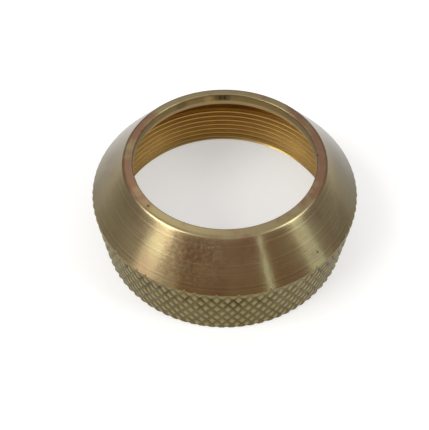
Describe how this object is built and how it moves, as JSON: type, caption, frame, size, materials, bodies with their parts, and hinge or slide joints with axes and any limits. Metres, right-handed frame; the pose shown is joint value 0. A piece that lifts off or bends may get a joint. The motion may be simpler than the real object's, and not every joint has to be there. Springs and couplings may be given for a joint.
{
  "type": "plasma torch retaining cap",
  "caption": "Turned brass retaining cap: a coned ring with an inner lip, an internal thread and a diamond-knurled grip band.",
  "frame": {"origin": "centre of the large open end, on the face that the cap stands on", "axes": "+Z along the cap's axis, from the threaded open end towards the small rim"},
  "size_m": [0.0508, 0.0508, 0.0194],
  "materials": {
    "turned_brass": "lathe turned, with a rolled diamond knurl"
  },
  "bodies": {
    "root": {"retaining_cap": "turned_brass"}
  },
  "joints": []
}
